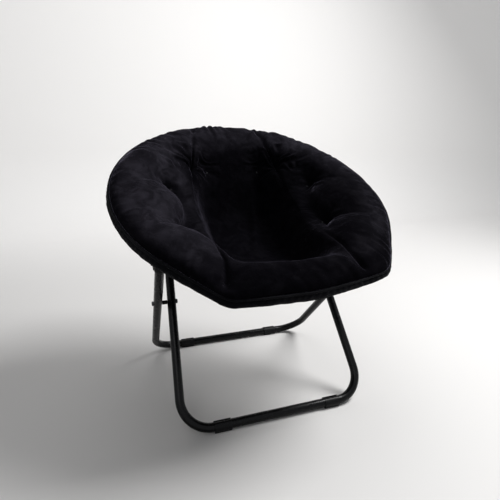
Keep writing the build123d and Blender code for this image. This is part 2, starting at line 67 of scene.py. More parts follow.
CORNER_DEGREES = [(-114.0, 25.0, 2.2), (-55.5, 26.0, 4.0)]  # each front corner's turn, half width, bluntness
CORNERS = [tuple(math.radians(angle) for angle in corner) for corner in CORNER_DEGREES]


def place(x, s, n):
    """From the ring's own frame to the chair's."""
    y = RING_Y + s * math.cos(TILT) - n * math.sin(TILT)
    z = RING_Z + s * math.sin(TILT) + n * math.cos(TILT)
    return np.stack([x + 0 * s, y, z], axis=-1)


def ring_coordinates(points):
    """The other way round from place: x, s and n of points in the chair's frame."""
    y, z = points[:, 1] - RING_Y, points[:, 2] - RING_Z
    return points[:, 0], y * math.cos(TILT) + z * math.sin(TILT), z * math.cos(TILT) - y * math.sin(TILT)


def round_grid(turns, r, n):
    """Places points given by their turn, distance from the ring's middle, and level."""
    return place(r * np.cos(turns), r * np.sin(turns), n)


def turns_of_grid(turn_count, along_count):
    """The turn of each point of a grid that goes all the way round, one row for each turn."""
    return np.linspace(-math.pi, math.pi, turn_count, endpoint=False)[:, None] + np.zeros(along_count)


def mirrored_turns(turn):
    return (turn, math.pi - turn)


# ---- curves and unevenness --------------------------------------------------------------------------
FAR = 9.0  # farther than any two points of the chair
STEPS_BETWEEN_POINTS = 24
LINE_SAMPLES = 400
HASH_AXES, HASH_SEED, HASH_MIX = (374761393, 668265263, 2147483647), 144665, 1274126177
LOW_32_BITS, LOW_16_BITS = 0xFFFFFFFF, 0xFFFF


def wrapped(angle):
    """The same angle, between minus half a turn and half a turn."""
    return (angle + math.pi) % (2 * math.pi) - math.pi


def bell(distance, width):
    """1 in the middle, fading to nothing at about twice the width."""
    return np.exp(-((distance / width) ** 2))


def smooth_step(low, high, value):
    """0 at low and beyond, 1 at high and beyond, and a smooth change between them."""
    t = np.clip((value - low) / (high - low), 0, 1)
    return t * t * (3 - 2 * t)


def lattice(ix, iy, iz, seed):
    """A fixed, scattered value from -1 to 1 for each whole-numbered point."""
    h = (ix * HASH_AXES[0] + iy * HASH_AXES[1] + iz * HASH_AXES[2] + seed * HASH_SEED) & LOW_32_BITS
    h = ((h ^ (h >> 13)) * HASH_MIX) & LOW_32_BITS
    return ((h ^ (h >> 16)) & LOW_16_BITS) / (LOW_16_BITS / 2) - 1


def lumps(points, size, seed):
    """Smooth seeded unevenness from -1 to 1, with features about this size."""
    p = points / size
    base = np.floor(p).astype(np.int64)
    f = p - base
    f = f * f * (3 - 2 * f)
    total = 0
    for step in product((0, 1), repeat=3):
        share = [f[..., k] if step[k] else 1 - f[..., k] for k in range(3)]
        corner = [base[..., k] + step[k] for k in range(3)]
        total = total + share[0] * share[1] * share[2] * lattice(*corner, seed)
    return total


def patches(points, size, seed):
    """The same unevenness, from 0 to 1."""
    return 0.5 + 0.5 * lumps(points, size, seed)


def spline_point(a, b, c, d, t):
    """A point between b and c on a smooth line through all four."""
    straight = 2 * b + (c - a) * t
    bend = (2 * a - 5 * b + 4 * c - d) * t**2
    twist = (3 * b - a - 3 * c + d) * t**3
    return 0.5 * (straight + bend + twist)


def curve_through(points, count):
    """A smooth line through the points, with evenly spaced samples."""
    p = np.array(points, float)
    p = np.vstack([2 * p[0] - p[1], p, 2 * p[-1] - p[-2]])
    fine = []
    for a, b, c, d in zip(p, p[1:], p[2:], p[3:]):
        for t in np.linspace(0, 1, STEPS_BETWEEN_POINTS, endpoint=False):
            fine.append(spline_point(a, b, c, d, t))
    fine = np.array(fine + [p[-2]])
    steps = lengths_along(fine)
    at = np.linspace(0, steps[-1], count)
    return np.stack([np.interp(at, steps, fine[:, k]) for k in range(2)], axis=1)


def lengths_along(line):
    """How far along the line each of its points is."""
    return np.r_[0, np.cumsum(np.linalg.norm(np.diff(line, axis=0), axis=1))]


def level_on(line, at):
    """The second coordinate of a line through the points, where its first one is this."""
    fine = curve_through(line, LINE_SAMPLES)
    order = np.argsort(fine[:, 0])
    return np.interp(at, fine[order, 0], fine[order, 1])


def from_line(x, s, points, count=25):
    """Distance to a line through the points, and how far along it the nearest spot is, from 0 to 1."""
    line = curve_through(points, count)
    near = np.full(x.shape, FAR)
    along = np.zeros(x.shape)
    for k, (start, end) in enumerate(zip(line, line[1:])):
        step = end - start
        share = np.clip(((x - start[0]) * step[0] + (s - start[1]) * step[1]) / (step @ step), 0, 1)
        away = np.hypot(x - start[0] - share * step[0], s - start[1] - share * step[1])
        closer = away < near
        near = np.where(closer, away, near)
        along = np.where(closer, (k + share) / (count - 1), along)
    return near, along


# ---- meshes -----------------------------------------------------------------------------------------
def linked(name, mesh):
    """A smooth-shaded object with this mesh, in the scene."""
    mesh.shade_smooth()
    obj = bpy.data.objects.new(name, mesh)
    bpy.context.scene.collection.objects.link(obj)
    return obj


def made_mesh(name, verts, faces, uvs=None):
    """An object from points and faces; uvs give each point's place on the flat cloth."""
    mesh = bpy.data.meshes.new(name)
    mesh.from_pydata([tuple(v) for v in verts], [], faces)
    if uvs is not None:
        layer = mesh.uv_layers.new(name="cloth")
        corners = np.zeros(len(mesh.loops), np.int64)
        mesh.loops.foreach_get("vertex_index", corners)
        layer.data.foreach_set("uv", np.asarray(uvs, np.float32)[corners].ravel())
    mesh.update()
    return linked(name, mesh)


def from_build(name, build):
    """An object from a bmesh, which is freed."""
    mesh = bpy.data.meshes.new(name)
    build.to_mesh(mesh)
    build.free()
    return linked(name, mesh)


def grid_faces(rows, columns, skip=None, start=0):
    """Quads of a grid stored row by row, whose rows close into a ring; start is its first point."""
    faces = []
    for i in range(rows):
        j = (i + 1) % rows
        for k in range(columns - 1):
            if skip is None or not skip(i, k):
                a, b = start + i * columns + k, start + j * columns + k
                faces.append((a, b, b + 1, a + 1))
    return faces


def vertex_vectors(mesh, what):
    """The places ("co") or normals ("normal") of a mesh's points."""
    values = np.zeros(len(mesh.vertices) * 3, np.float32)
    mesh.vertices.foreach_get(what, values)
    return values.reshape(-1, 3).astype(float)


def thicken(obj, amount, side):
    """Gives a sheet its thickness: on both sides (side 0) or on its inner side (side -1)."""
    solid = obj.modifiers.new("cloth", "SOLIDIFY")
    solid.thickness = amount
    solid.offset = side
    bpy.context.view_layer.update()
    graph = bpy.context.evaluated_depsgraph_get()
    mesh = bpy.data.meshes.new_from_object(obj.evaluated_get(graph))
    flat = obj.data
    obj.modifiers.clear()
    obj.data = mesh
    mesh.name = obj.name
    bpy.data.meshes.remove(flat)


# ---- the cushion's stuffed shape ----------------------------------------------------------------------
SEAT_TURNS, FACE_ROWS, UNDER_ROWS = 760, 190, 36
RIM_R = 0.3655
CREST = 0.0345
PAD_LINE = [  # r, n: from the rim over a side pad's crest and down towards the middle
    (0.3655, 0.0165), (0.3600, 0.0235), (0.3480, 0.0300), (0.3220, 0.0345), (0.2980, 0.0330),
    (0.2680, 0.0240), (0.2380, 0.0090), (0.2080, -0.0080), (0.1780, -0.0260), (0.1500, -0.0420),
    (0.1200, -0.0560), (0.0, -0.0700),
]
ROLL_LINE = [  # s, n: over the front roll and down into the strip between the pads
    (-0.3400, 0.0345), (-0.3000, 0.0345), (-0.2860, 0.0300), (-0.2710, 0.0140), (-0.2570, -0.0080),
    (-0.2400, -0.0330), (-0.2150, -0.0580), (-0.1850, -0.0860), (-0.1550, -0.1100), (-0.1100, -0.1330),
    (-0.0500, -0.1470), (0.0500, -0.1480),
]
BACK_LINE = [  # r, n: from the strip's lowest place up the back to the rim
    (0.0, -0.1480), (0.0500, -0.1460), (0.0900, -0.1320), (0.1250, -0.1060), (0.1600, -0.0720),
    (0.1950, -0.0420), (0.2320, -0.0150), (0.2680, 0.0080), (0.2980, 0.0250), (0.3220, 0.0325),
    (0.3480, 0.0300), (0.3655, 0.0165),
]
TROUGH_SPREAD, SPREAD_ALONG = 0.30, (0.10, 0.28)  # between these s the back widens from a trough to a round
ROLL_END = (0.322, 0.335)  # the r between which the front roll goes over into the rim
ROLL_TO_BACK = (-0.03, 0.03)  # the s between which the front line gives way to the back line
WALL_FOOT, WALL_TOP = 0.085, 0.146  # the u between which the strip's side walls rise
WALL_NARROWING, NARROWING_ALONG = 0.022, (0.05, 0.20)  # the walls come closer together towards the back
RIM_START = 0.335
CORNER_START = (0.29, 0.355)  # the r between which the face is drawn out to the corners
ROW_SPACING = 0.88  # under 1: rows of points lie closer together at the rim
SEWN_IN = 0.028  # the sewing fades out this close to the rim
MIDDLE_STILL = 0.02  # and this close to the middle, where the turns meet
FACE_LUMPS = [(0.0040, 0.085, 11), (0.0018, 0.034, 12), (0.0006, 0.012, 13)]  # height, size, seed
NO_LENGTH = 1e-12


def bare_level(x, s):
    """The stuffed shape before its sewing: round side pads, and a strip that dips between them."""
    u, r = np.abs(x), np.hypot(x, s)
    pad = level_on(PAD_LINE, r)
    spread = TROUGH_SPREAD + (1 - TROUGH_SPREAD) * smooth_step(*SPREAD_ALONG, s)
    back = level_on(BACK_LINE, np.hypot(s, u * spread))
    front = level_on(ROLL_LINE, s) + np.minimum(pad - CREST, 0) * smooth_step(*ROLL_END, r)
    strip = front + (back - front) * smooth_step(*ROLL_TO_BACK, s)
    narrowing = WALL_NARROWING * smooth_step(*NARROWING_ALONG, s)
    wall = smooth_step(WALL_FOOT - narrowing, WALL_TOP - narrowing, u)
    level = strip + (np.maximum(pad, strip) - strip) * wall
    rim = smooth_step(RIM_START, RIM_R, r)
    return level + (pad - level) * rim


def rim_reach(turns):
    """How far the cloth stands out at the front corners: straight from each tip to the round."""
    out = np.zeros_like(turns)
    for tip, half, blunt in CORNERS:
        away = np.hypot(wrapped(turns - tip), blunt)
        left = np.clip(half - away, 0, None)
        out = np.maximum(out, (RING_RADIUS + SLEEVE_R) * (1 / np.cos(left) - 1))
    return out


def normals_of(points):
    """Upward normals of a closed grid of points."""
    around = np.roll(points, -1, axis=0) - np.roll(points, 1, axis=0)
    inward = np.gradient(points, axis=1)
    n = np.cross(inward, around)
    n /= np.maximum(np.linalg.norm(n, axis=2), NO_LENGTH)[..., None]
    up = np.array([0, -math.sin(TILT), math.cos(TILT)])
    return n * np.where((n @ up) < 0, -1.0, 1.0)[..., None]


# ---- the cushion's sewing -----------------------------------------------------------------------------
# A hollow is a depth and a width. Spots and the points of seams are u, s, except where x is named.
SIDE_TUFTS = [(0.206, 0.083), (0.186, -0.081)]
BACK_TUFTS, FRONT_TUFTS = (0.080, 0.192), (0.080, -0.192)
TUFT_PULLS = [(SIDE_TUFTS[0], 1.0), (SIDE_TUFTS[1], 1.0), (BACK_TUFTS, 0.55), (FRONT_TUFTS, 0.30)]
TUFT_PIT, TUFT_DISH = (0.0110, 0.012), (0.0130, 0.036)
EASED = 0.62  # depth of the seams and swells on the side at +x, against those at -x
CHAIN = [
    SIDE_TUFTS[0], (0.190, 0.045), (0.179, 0.000), (0.179, -0.040),
    SIDE_TUFTS[1], (0.167, -0.120), (0.149, -0.165),
]
CHAIN_DEPTH, CHAIN_OUTER_WIDTH, CHAIN_INNER_WIDTH = 0.0165, 0.0105, 0.0230
CHAIN_RISES, CHAIN_FADES = (-0.02, 0.10), (1.02, 0.72)  # shares of its length
CHAIN_SAMPLES = 40
LOBE_SEAMS = [
    [SIDE_TUFTS[0], (0.262, 0.056), (0.325, 0.015)],
    [SIDE_TUFTS[1], (0.240, -0.118), (0.302, -0.165)],
]
LOBE_CREASE, LOBE_VALLEY, LOBE_FADES = (0.0034, 0.006), (0.0062, 0.026), (0.35, 1.0)
GATHER = (0.126, 0.168)
GATHER_PIT = (0.0100, 0.016)
STRIP_SEAM = [
    (0.160, -0.345), (0.150, -0.290), (0.146, -0.200), (0.142, 0.0), (0.132, 0.120), GATHER, (0.112, 0.250),
    (0.104, 0.325),
]
STRIP_CREASE, STRIP_VALLEY = (0.0080, 0.0065), (0.0070, 0.022)
STRIP_FRONT_FADES, STRIP_BACK_RISES = (0.05, 0.40), (0.60, 0.75)  # shares of its length
STRIP_LEAST, STRIP_BACK = 0.20, 0.65  # how much of its depth it keeps between them, and at the back
SWELLS = [((0.255, 0.155), 0.060, 0.0070), ((0.243, -0.015), 0.058, 0.0115), ((0.226, -0.180), 0.058, 0.0100)]
SEAT_FOLD = [(0.058, 0.165), (0.052, 0.070), (0.030, -0.010), (0.012, -0.080)]  # x, s
FOLD_RIDGE, FOLD_TROUGH, TROUGH_AWAY = (0.0045, 0.010), (0.0030, 0.010), 0.020
STARS = [  # spot, pleats, first turn, end, height
    (SIDE_TUFTS[0], 7, 0.0, 0.060, 0.0013),
    (SIDE_TUFTS[1], 7, 0.7, 0.055, 0.0013),
    (BACK_TUFTS, 7, 0.2, 0.050, 0.0008),
]
STAR_CENTRE, STAR_START, GATHER_START = 0.003, 0.014, 0.020
STAR_WANDER, SECOND_WAVE = 0.5, 0.6  # the second wave has this share of the first one's pleats and height
GATHER_PLEATS, GATHER_TURN, GATHER_END = 11, 0.4, 0.130
FINE_PLEATS, COARSE_PLEATS, FINE_SHARE, COARSE_SHARE = 71, 41, 0.6, 0.7  # round the whole rim
PLEATS_FROM, PLEATS_FADE, PLEATS_HELD = (0.262, 0.345), (0.355, RIM_R), 0.8
RIM_PLEAT_HEIGHT, GATHER_PLEAT_HEIGHT, WALL_PLEAT_HEIGHT = 0.0023, 0.0030, 0.0008
WALL_PLEAT_PITCH, WALL_PLEAT_SLANT, WALL_PLEAT_WANDER = 0.019, 0.9, 0.018
WALL_PLEATS_U, WALL_PLEATS_WIDTH = 0.162, 0.014
WALL_PLEATS_FRONT, WALL_PLEATS_BACK = (-0.17, -0.08), (0.10, 0.16)


def hollow(away, depth, width):
    return depth * bell(away, width)


def sewing(x, s):
    """How far tufts, seams and stuffing move the face in or out."""
    u = np.abs(x)
    d = np.zeros_like(x)
    taut = np.where(x > 0, EASED, 1.0)
    for (pu, ps), pull in TUFT_PULLS:
        away = np.hypot(u - pu, s - ps)
        d -= pull * (hollow(away, *TUFT_PIT) + hollow(away, *TUFT_DISH))

    away, along = from_line(u, s, CHAIN)
    chain = curve_through(CHAIN, CHAIN_SAMPLES)
    outside = u > np.interp(-s, -chain[:, 1], chain[:, 0])
    crease = CHAIN_DEPTH * taut * bell(away, np.where(outside, CHAIN_OUTER_WIDTH, CHAIN_INNER_WIDTH))
    d -= crease * smooth_step(*CHAIN_FADES, along) * smooth_step(*CHAIN_RISES, along)

    for points in LOBE_SEAMS:
        away, along = from_line(u, s, points)
        crease = taut * (hollow(away, *LOBE_CREASE) + hollow(away, *LOBE_VALLEY))
        d -= crease * (1 - smooth_step(*LOBE_FADES, along))

    away, along = from_line(u, s, STRIP_SEAM)
    front = 1 - smooth_step(*STRIP_FRONT_FADES, along)
    back = STRIP_BACK * smooth_step(*STRIP_BACK_RISES, along)
    ends = STRIP_LEAST + (1 - STRIP_LEAST) * np.maximum(front, back)
    d -= (hollow(away, *STRIP_CREASE) + hollow(away, *STRIP_VALLEY)) * ends
    d -= hollow(np.hypot(u - GATHER[0], s - GATHER[1]), *GATHER_PIT)

    for (pu, ps), reach, swell in SWELLS:
        d += taut * swell * bell(np.hypot(u - pu, s - ps), reach)

    away, along = from_line(x, s, SEAT_FOLD)
    fade = np.sin(np.pi * along)
    d += hollow(away, *FOLD_RIDGE) * fade - hollow(away - TROUGH_AWAY, *FOLD_TROUGH) * fade
    return d


def star(u, s, middle, spokes, turn, start, end):
    """Small pleats that fan out from one drawn-in spot, between two distances from it."""
    du, ds = u - middle[0], s - middle[1]
    away = np.hypot(du, ds)
    wander = STAR_WANDER * lumps(np.stack([u, s, 0 * u], -1), size=0.025, seed=6)
    spoke = np.arctan2(ds, du) + turn + wander
    wave = np.cos(spokes * spoke) + SECOND_WAVE * np.cos(SECOND_WAVE * spokes * spoke + 2.0)
    return wave * smooth_step(STAR_CENTRE, start, away) * (1 - smooth_step(start * 1.5, end, away))


def pleats(x, s):
    """Gathers of the cloth at the rim seam, round the tufts and on the strip's walls."""
    u, r, turns = np.abs(x), np.hypot(x, s), np.arctan2(s, x)
    spot = np.stack([x, s, 0 * x], -1)
    wander = 0.10 * lumps(spot, size=0.090, seed=3)
    fine = np.sin(FINE_PLEATS * (turns + wander))
    coarse = np.sin(COARSE_PLEATS * (turns + 1.7 * wander) + 1.3)
    wave = fine * FINE_SHARE + coarse * COARSE_SHARE
    rearwards = 0.6 + 0.7 * smooth_step(0.05, 0.25, s)
    d = RIM_PLEAT_HEIGHT * wave * patches(spot, size=0.110, seed=4) * rearwards
    d = d * smooth_step(*PLEATS_FROM, r) * (1 - PLEATS_HELD * smooth_step(*PLEATS_FADE, r))

    for middle, spokes, turn, end, height in STARS:
        d += height * star(u, s, middle, spokes, turn, STAR_START, end)
    rear_side = smooth_step(-0.04, 0.02, s - GATHER[1] + 0.5 * (u - GATHER[0]))
    fan = star(u, s, GATHER, GATHER_PLEATS, GATHER_TURN, GATHER_START, GATHER_END)
    d += GATHER_PLEAT_HEIGHT * fan * rear_side

    across = s + WALL_PLEAT_SLANT * u + WALL_PLEAT_WANDER * lumps(spot, size=0.05, seed=5)
    slant = np.sin(2 * np.pi * across / WALL_PLEAT_PITCH)
    wall = bell(u - WALL_PLEATS_U, WALL_PLEATS_WIDTH) * smooth_step(*WALL_PLEATS_FRONT, s)
    wall = wall * (1 - smooth_step(*WALL_PLEATS_BACK, s))
    return d + WALL_PLEAT_HEIGHT * slant * wall * patches(spot, size=0.05, seed=7)


def cushion_face(turn_count, along_count):
    """The sewn face of the cushion, as a grid of points from the rim to the middle."""
    turns = turns_of_grid(turn_count, along_count)
    share = np.linspace(0, 1, along_count)
    r = RIM_R * (1 - share) ** ROW_SPACING + 0 * turns
    x, s = r * np.cos(turns), r * np.sin(turns)
    out = r + rim_reach(turns) * smooth_step(*CORNER_START, r)
    bare = round_grid(turns, out, bare_level(x, s))
    held = smooth_step(0.0, SEWN_IN, RIM_R - r)
    uneven = sum(height * lumps(bare, size, seed) for height, size, seed in FACE_LUMPS)
    d = (sewing(x, s) + uneven) * held + pleats(x, s)
    return bare + normals_of(bare) * (d * smooth_step(0.0, MIDDLE_STILL, r))[..., None]


def searchable(face):
    """The cushion's face, set out so that its level over any spot can be looked up."""
    x, s, n = ring_coordinates(face.reshape(-1, 3))
    tree = kdtree.KDTree(len(x))
    for k, (px, ps) in enumerate(zip(x, s)):
        tree.insert((px, ps, 0.0), k)
    tree.balance()
    return tree, n


seat_face = cushion_face(SEAT_TURNS, FACE_ROWS)
seat_face_levels = searchable(seat_face)


# ---- the cushion's underside --------------------------------------------------------------------------
UNDER_LINE = [  # r, n: from the rim round the ring tube and down to the middle
    (0.3655, 0.0165), (0.352, 0.0175), (0.3405, 0.0080), (0.3385, -0.0060), (0.328, -0.0165),
    (0.298, -0.0250), (0.255, -0.0520), (0.208, -0.0870), (0.160, -0.1290), (0.092, -0.1790),
    (0.045, -0.1890), (0.0, -0.1905),
]
UNDER_CORNER_START = (0.336, 0.358)
FREE_OF_RING = 0.345  # room for the legs is only made inside this r
CUSHION_GAP, CUSHION_TOP_GAP, CUSHION_TOP_REACH = 0.0045, 0.021, 0.047  # over folded legs and leg tops
LEG_TOPS = [(0.3355, math.radians(-36.0), -0.0297), (0.3564, math.radians(54.3), -0.0433)]  # r, turn, n
FOLDED_LEGS = [  # where the legs lie against the seat once it is folded: both ends as u, s, n
    ((0.2080, 0.2895, -0.0433), (0.2265, -0.1050, -0.0279)),
    ((0.2716, -0.1970, -0.0297), (0.2655, -0.0600, -0.0272)),
]
LEAST_PAD = 0.0110  # a raised underside stays about this far below the face, less a share of the gap
GAP_ABOVE, GAP_BESIDE = 1.5, 1.3  # shares of the gap
ROOM_FADE_ACROSS, ROOM_FADE_ALONG = 0.040, 0.065
HINGE_ROOM, HINGE_ROOM_REACH, HINGE_ROOM_END = 0.0125, 0.044, (0.300, 0.320)
SOFT_EDGE = 0.005
NEAREST_COUNT = 6


def face_level(x, s):
    """The lowest level of the cushion's face round each spot."""
    tree, levels = seat_face_levels
    spots = zip(x.ravel(), s.ravel())
    low = [min(levels[k] for _, k, _ in tree.find_n((px, ps, 0.0), NEAREST_COUNT)) for px, ps in spots]
    return np.array(low).reshape(x.shape)


def over_leg_tops(turns, r, n, gap, reach):
    """Lifts the underside over the leg tops that push up into it."""
    for radius, turn, level in LEG_TOPS:
        for t in mirrored_turns(turn):
            away = np.hypot(r - radius, r * wrapped(turns - t))
            lift = np.sqrt(np.clip(1 - (away / reach) ** 2, 0, 1)) ** 1.5
            n = np.maximum(n, n + (level + gap - n) * lift)
    return n


def over_folded_legs(turns, r, n, gap):
    """Raises the underside of the side pads where the legs lie once folded, as far as the face allows."""
    x, s = r * np.cos(turns), r * np.sin(turns)
    u = np.abs(x)
    room = face_level(x, s) - LEAST_PAD + GAP_ABOVE * gap
    for (u0, s0, n0), (u1, s1, n1) in FOLDED_LEGS:
        along = np.clip((s - s0) / (s1 - s0), 0, 1)
        inner = u0 + (u1 - u0) * along - TUBE_R - GAP_BESIDE * gap
        past = np.maximum(s - max(s0, s1), min(s0, s1) - s)
        lift = smooth_step(inner - ROOM_FADE_ACROSS, inner, u) * (1 - smooth_step(0.0, ROOM_FADE_ALONG, past))
        bend = HINGE_ROOM * bell(s - HINGE_S, HINGE_ROOM_REACH) * (1 - smooth_step(*HINGE_ROOM_END, u))
        level = np.minimum(n0 + (n1 - n0) * along + TUBE_R + gap + bend, room)
        short = level - n
        n = n + 0.5 * (short + np.hypot(short, SOFT_EDGE)) * lift
    return n


def cushion_under(turn_count, along_count):
    """The underside, as a grid of points from the rim to the middle."""
    line = curve_through(UNDER_LINE, along_count)
    turns = turns_of_grid(turn_count, along_count)
    r, n = line[:, 0] + 0 * turns, line[:, 1] + 0 * turns
    raised = over_folded_legs(turns, r, n, CUSHION_GAP)
    raised = over_leg_tops(turns, r, raised, CUSHION_TOP_GAP, CUSHION_TOP_REACH)
    n = np.where(r < FREE_OF_RING, raised, n)
    return round_grid(turns, r + rim_reach(turns) * smooth_step(*UNDER_CORNER_START, r), n)


def cushion():
    """Face and underside, joined at the rim and closed in the middle."""
    top = seat_face[:, :-1]
    low = cushion_under(SEAT_TURNS, UNDER_ROWS)[:, 1:-1]
    middle = np.zeros(2)
    middles = place(middle, middle, np.array([BACK_LINE[0][1], UNDER_LINE[-1][1]]))
    verts = np.concatenate([top.reshape(-1, 3), low.reshape(-1, 3), middles])
    a, b = top.shape[1], low.shape[1]
    offset = SEAT_TURNS * a
    top_middle, low_middle = len(verts) - 2, len(verts) - 1
    faces = grid_faces(SEAT_TURNS, a)
    faces += [tuple(reversed(face)) for face in grid_faces(SEAT_TURNS, b, start=offset)]
    for i in range(SEAT_TURNS):
        j = (i + 1) % SEAT_TURNS
        faces.append((i * a + a - 1, j * a + a - 1, top_middle))
        faces.append((offset + j * b + b - 1, offset + i * b + b - 1, low_middle))
        faces.append((j * a, i * a, offset + i * b, offset + j * b))
    return made_mesh("quilted_cushion", verts, faces)


# ---- painted light and shade on the cushion's pile, and its tuft threads ----------------------------
ROLL_INSIDE_S = -0.275  # on the side of the front roll that faces the middle
THREAD_RADIUS, THREAD_HALF_LENGTH, THREAD_LIFT = 0.0011, 0.0048, 0.0006
THREAD_TURNS = (0.6, 2.3)


def painted_light_on_pile(mesh):
    """Painted light and shade on the pile at each point, from 0 (dark, painted shade) to 1 (pale, painted
    light).
    """
    x, s, n = ring_coordinates(vertex_vectors(mesh, "co"))
    u, r = np.abs(x), np.hypot(x, s)
    spot = np.stack([x, s, 2 * n], -1)
    soft = lumps(spot, size=0.060, seed=51)
    # Painted light: the pads are pale, but at +x only near the rim, and less so towards the front; the rest
    # of +x is in painted shade.
    pads = smooth_step(WALL_TOP - 0.012, WALL_TOP + 0.040, u + 0.012 * soft)
    pads *= np.where(x > 0, 0.05 + 0.30 * smooth_step(0.270, 0.320, r), 1)
    pads *= 1 - 0.45 * (1 - smooth_step(-0.30, -0.16, s))
    # Painted light also on the rear rim and the band just inside it, and on the inner side of the front roll.
    band = 0.9 * smooth_step(0.240, 0.300, r + 0.014 * soft) * smooth_step(0.0, 0.12, s)
    roll = 0.55 * bell(s - ROLL_INSIDE_S, 0.026) * patches(spot, size=0.045, seed=52)
    shade = np.maximum(np.maximum(pads, band), roll)
    # Painted shade darkens the seams and the outer side of the rim.
    shade *= 1 - 0.70 * smooth_step(0.005, 0.018, -sewing(x, s))
    outside = smooth_step(0.335, 0.362, r) * (1 - 0.75 * smooth_step(0.05, 0.20, s))
    shade *= (1 - 0.85 * outside) * (0.78 + 0.22 * lumps(spot, size=0.030, seed=53))
    layer = mesh.attributes.new("painted light on pile", "FLOAT", "POINT")
    layer.data.foreach_set("value", np.clip(shade, 0, 1).astype(np.float32))


def tuft_threads(pad):
    """A small cross of thread at the bottom of each tuft."""
    spots, ups = vertex_vectors(pad.data, "co"), vertex_vectors(pad.data, "normal")
    x, s, _ = ring_coordinates(spots)
    size = Matrix.Diagonal((THREAD_RADIUS, THREAD_RADIUS, THREAD_HALF_LENGTH, 1))
    build = bmesh.new()
    for (pu, ps), side in product(SIDE_TUFTS + [BACK_TUFTS, FRONT_TUFTS], (1, -1)):
        away = np.hypot(x - side * pu, s - ps) + FAR * (ups[:, 2] < 0)
        at, up = Vector(spots[away.argmin()]), Vector(ups[away.argmin()])
        for turn in THREAD_TURNS:
            along = Vector((math.cos(turn), math.sin(turn), 0)).cross(up).normalized()
            lie = along.to_track_quat("Z", "Y").to_matrix().to_4x4()
            where = Matrix.Translation(at + up * THREAD_LIFT) @ lie @ size
            bmesh.ops.create_uvsphere(build, u_segments=10, v_segments=8, radius=1, matrix=where)
    return from_build("tuft_threads", build)


# ---- sleeve, piping and base cloth ------------------------------------------------------------------
SLEEVE_FROM, SLEEVE_TO, SLEEVE_STEP = -205, 156, 10.0  # degrees round the tube; 0 is outwards, 90 is up
SLEEVE_SLITS = [(54.3, 3.9), (-33.5, 3.9)]  # turn and half width in degrees, the same on both sides
SLIT_LOW, SLIT_HIGH = -150.0, -28.0
SLEEVE_TURN_STEP, SLEEVE_THICKNESS, SLEEVE_FLAT_R = 0.5, 0.0012, 0.0165
SLEEVE_GATHERS, SLEEVE_GATHER_HEIGHT = 151, 0.0007
PIPING_TURNS, PIPING_AROUND = 900, 12
PIPING_R, PIPING_PATH_R, PIPING_PLACE = 0.0026, 0.0178, math.radians(52)
PIPING_CORNERS, PIPING_RIPPLES, PIPING_RIPPLE_HEIGHT = 0.9, 620, 0.00012
BASE_LINE = [  # r, n: from the ring down to the middle
    (0.347, -0.0150), (0.330, -0.0185), (0.298, -0.0275), (0.255, -0.0550), (0.208, -0.0900),
    (0.160, -0.1320), (0.092, -0.1820), (0.045, -0.1925), (0.0, -0.1940),
]
BASE_TURNS, BASE_ROWS, BASE_THICKNESS = 540, 90, 0.0010
BASE_PANEL_PAIRS, BASE_SEAM_WIDTH = 4, 0.004
BASE_SEAM_HEIGHT, BASE_PANEL_SAG, BASE_UNEVEN = 0.0016, 0.0030, 0.0014
BASE_GAP, BASE_TOP_GAP, BASE_TOP_REACH = 0.0015, 0.0185, 0.042


def sleeve():
    """The cloth tube round the ring, open below where the leg brackets come out."""
    slits = [(turn, half) for middle, half in SLEEVE_SLITS for turn in (middle, 180 - middle)]
    edges = {round((turn + side * half) % 360, 4) for turn, half in slits for side in (-1, 1)}
    turns = sorted(set(np.round(np.arange(0, 360, SLEEVE_TURN_STEP), 4)) | edges)
    arounds = sorted(set(np.arange(SLEEVE_FROM, SLEEVE_TO, SLEEVE_STEP)) | {SLIT_LOW, SLIT_HIGH})
    t, a = np.meshgrid(np.radians(turns), np.radians(arounds), indexing="ij")
    where = np.stack([np.cos(t), np.sin(t), 0.1 * a], -1)
    radius = SLEEVE_R + 0.0009 * lumps(where, size=0.05, seed=21) + 0.0004 * lumps(where, size=0.018, seed=22)
    gathers = np.sin(SLEEVE_GATHERS * t + 3 * lumps(where, size=0.2, seed=23))
    radius += SLEEVE_GATHER_HEIGHT * gathers * bell(a - 0.6, 0.5)
    bulge = rim_reach(t) * np.clip(np.cos(a - 0.2), 0, 1)
    verts = round_grid(t, RING_RADIUS + radius * np.cos(a) + bulge, radius * np.sin(a)).reshape(-1, 3)
    uvs = np.stack([t * RING_RADIUS, a * SLEEVE_FLAT_R], -1).reshape(-1, 2)

    def in_slit(i, k):
        if arounds[k] < SLIT_LOW or arounds[k + 1] > SLIT_HIGH:
            return False
        middle = (turns[i] + (turns[i + 1] if i + 1 < len(turns) else 360)) / 2
        return any(abs((middle - turn + 180) % 360 - 180) < half for turn, half in slits)

    obj = made_mesh("rim_sleeve", verts, grid_faces(len(turns), len(arounds), skip=in_slit), uvs)
    thicken(obj, SLEEVE_THICKNESS, -1)
    return obj


